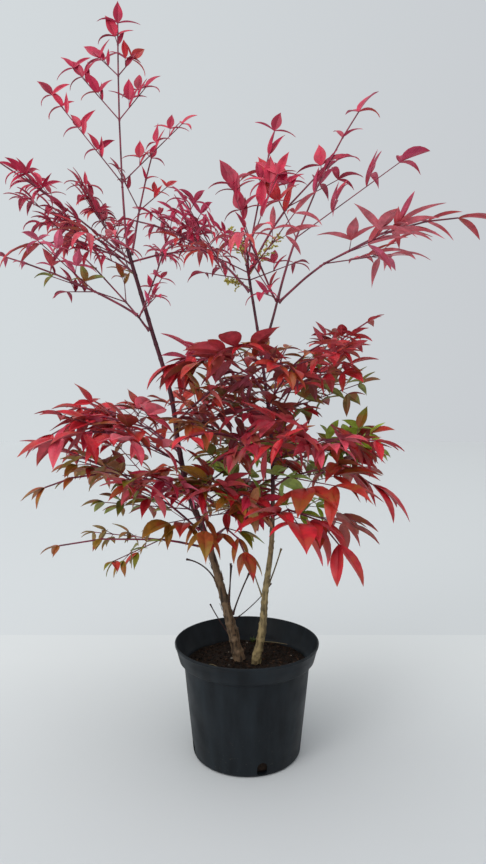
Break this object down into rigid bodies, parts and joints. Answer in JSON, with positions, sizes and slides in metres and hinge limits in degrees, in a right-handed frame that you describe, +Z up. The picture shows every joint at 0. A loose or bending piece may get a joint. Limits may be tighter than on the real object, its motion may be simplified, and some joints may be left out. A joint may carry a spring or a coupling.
{
  "type": "potted heavenly bamboo shrub",
  "caption": "Shrub of bare leaning canes with divided red compound leaves in two tiers, growing in a round tapered nursery pot.",
  "frame": {"origin": "centre of the pot's flat underside", "axes": "+Z up along the pot's axis, +X to the viewer's right and +Y away from the viewer when the plant is seen with the reddish, left-leaning cane on the left"},
  "size_m": [0.6377, 0.3451, 0.9935],
  "materials": {
    "pot_plastic": "satin",
    "growing_medium": "matte",
    "left_cane_bark": "matte",
    "right_cane_bark": "matte",
    "leaf_stalks": "satin",
    "leaves_red": "satin",
    "leaves_bright": "satin",
    "leaves_wine": "satin",
    "leaves_olive": "satin",
    "leaves_green": "satin"
  },
  "bodies": {
    "root": {"pot": "pot_plastic", "growing_medium": "growing_medium", "left_cane": "left_cane_bark", "right_cane": "right_cane_bark", "left_low_stalk": "leaf_stalks", "right_wide_stalk": "leaf_stalks", "left_top_stalk": "leaf_stalks", "left_upright_stalk": "leaf_stalks", "left_low_sweep_stalk": "leaf_stalks", "right_inner_stalk": "leaf_stalks", "right_top_stalk": "leaf_stalks", "right_upright_stalk": "leaf_stalks", "right_wide_upright_stalk": "leaf_stalks", "right_wide_sweep_stalk": "leaf_stalks", "skirt_left_lowest_stalk": "leaf_stalks", "skirt_left_low_stalk": "leaf_stalks", "skirt_right_green_stalk": "leaf_stalks", "left_top_leaf": "leaves_red", "left_upright_leaf": "leaves_red", "left_sweep_leaf": "leaves_red", "left_near_leaf": "leaves_bright", "left_inner_leaf": "leaves_red", "left_back_leaf": "leaves_red", "left_low_sweep_leaf": "leaves_red", "left_low_back_leaf": "leaves_olive", "left_low_inner_leaf": "leaves_red", "right_inner_leaf": "leaves_red", "right_top_leaf": "leaves_red", "right_upright_leaf": "leaves_red", "right_back_leaf": "leaves_red", "right_near_leaf": "leaves_bright", "right_wide_inner_leaf": "leaves_red", "right_wide_upright_leaf": "leaves_red", "right_wide_sweep_leaf": "leaves_bright", "skirt_left_lowest_leaf": "leaves_olive", "skirt_left_low_leaf": "leaves_wine", "skirt_left_middle_leaf": "leaves_olive", "skirt_left_high_leaf": "leaves_bright", "skirt_left_near_leaf": "leaves_bright", "skirt_left_back_leaf": "leaves_wine", "skirt_left_low_back_leaf": "leaves_olive", "skirt_left_foot_leaf": "leaves_olive", "skirt_top_near_leaf": "leaves_bright", "skirt_top_left_leaf": "leaves_wine", "skirt_top_middle_leaf": "leaves_wine", "skirt_top_right_leaf": "leaves_wine", "skirt_middle_near_leaf": "leaves_wine", "skirt_middle_leaf": "leaves_olive", "skirt_middle_back_leaf": "leaves_green", "skirt_low_near_leaf": "leaves_bright", "skirt_low_middle_leaf": "leaves_olive", "skirt_lowest_near_leaf": "leaves_olive", "skirt_right_high_leaf": "leaves_wine", "skirt_right_high_back_leaf": "leaves_olive", "skirt_right_green_leaf": "leaves_green", "skirt_right_middle_leaf": "leaves_bright", "skirt_right_near_leaf": "leaves_wine", "skirt_right_low_near_leaf": "leaves_wine", "skirt_back_high_leaf": "leaves_olive", "skirt_back_low_leaf": "leaves_green"}
  },
  "joints": []
}
